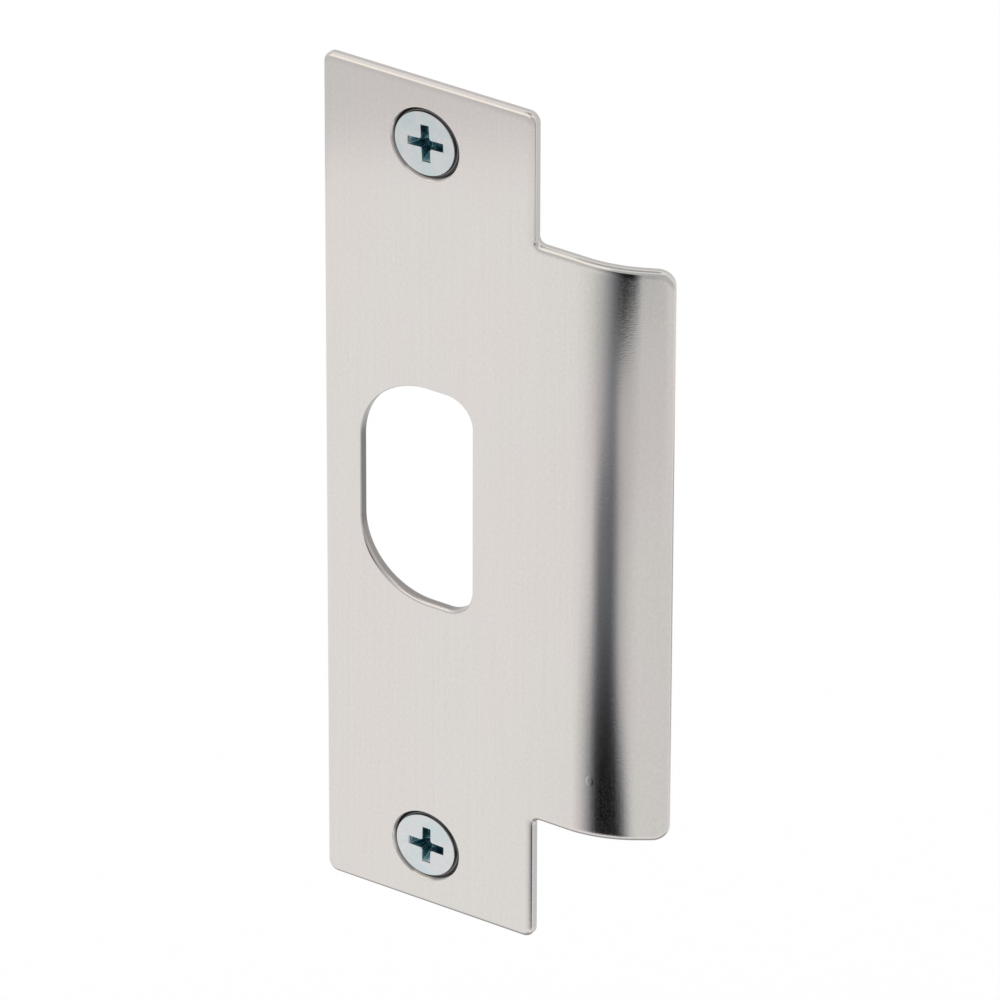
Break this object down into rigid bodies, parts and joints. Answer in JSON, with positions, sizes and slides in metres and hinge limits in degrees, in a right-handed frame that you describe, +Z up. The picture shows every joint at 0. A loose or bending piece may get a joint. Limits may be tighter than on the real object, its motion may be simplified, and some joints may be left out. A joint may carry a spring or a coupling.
{
  "type": "door strike plate",
  "caption": "Flat rectangular door strike plate with a D-shaped latch hole, a wide curved lip along one side and a countersunk cross-recess screw near each end.",
  "frame": {"origin": "midway between the two screw axes, on the plate's flat back face, which lies on the door jamb", "axes": "+Z up along the plate's length, +Y into the jamb along the screws, +X towards the lip; the front faces -Y"},
  "size_m": [0.0498, 0.0096, 0.1226],
  "materials": {
    "satin_steel": "satin stainless steel, fine brushed grain along the plate",
    "zinc_screw": "bright zinc plate, faintly blue"
  },
  "bodies": {
    "root": {"strike_plate": "satin_steel", "upper_screw": "zinc_screw", "lower_screw": "zinc_screw"}
  },
  "joints": []
}
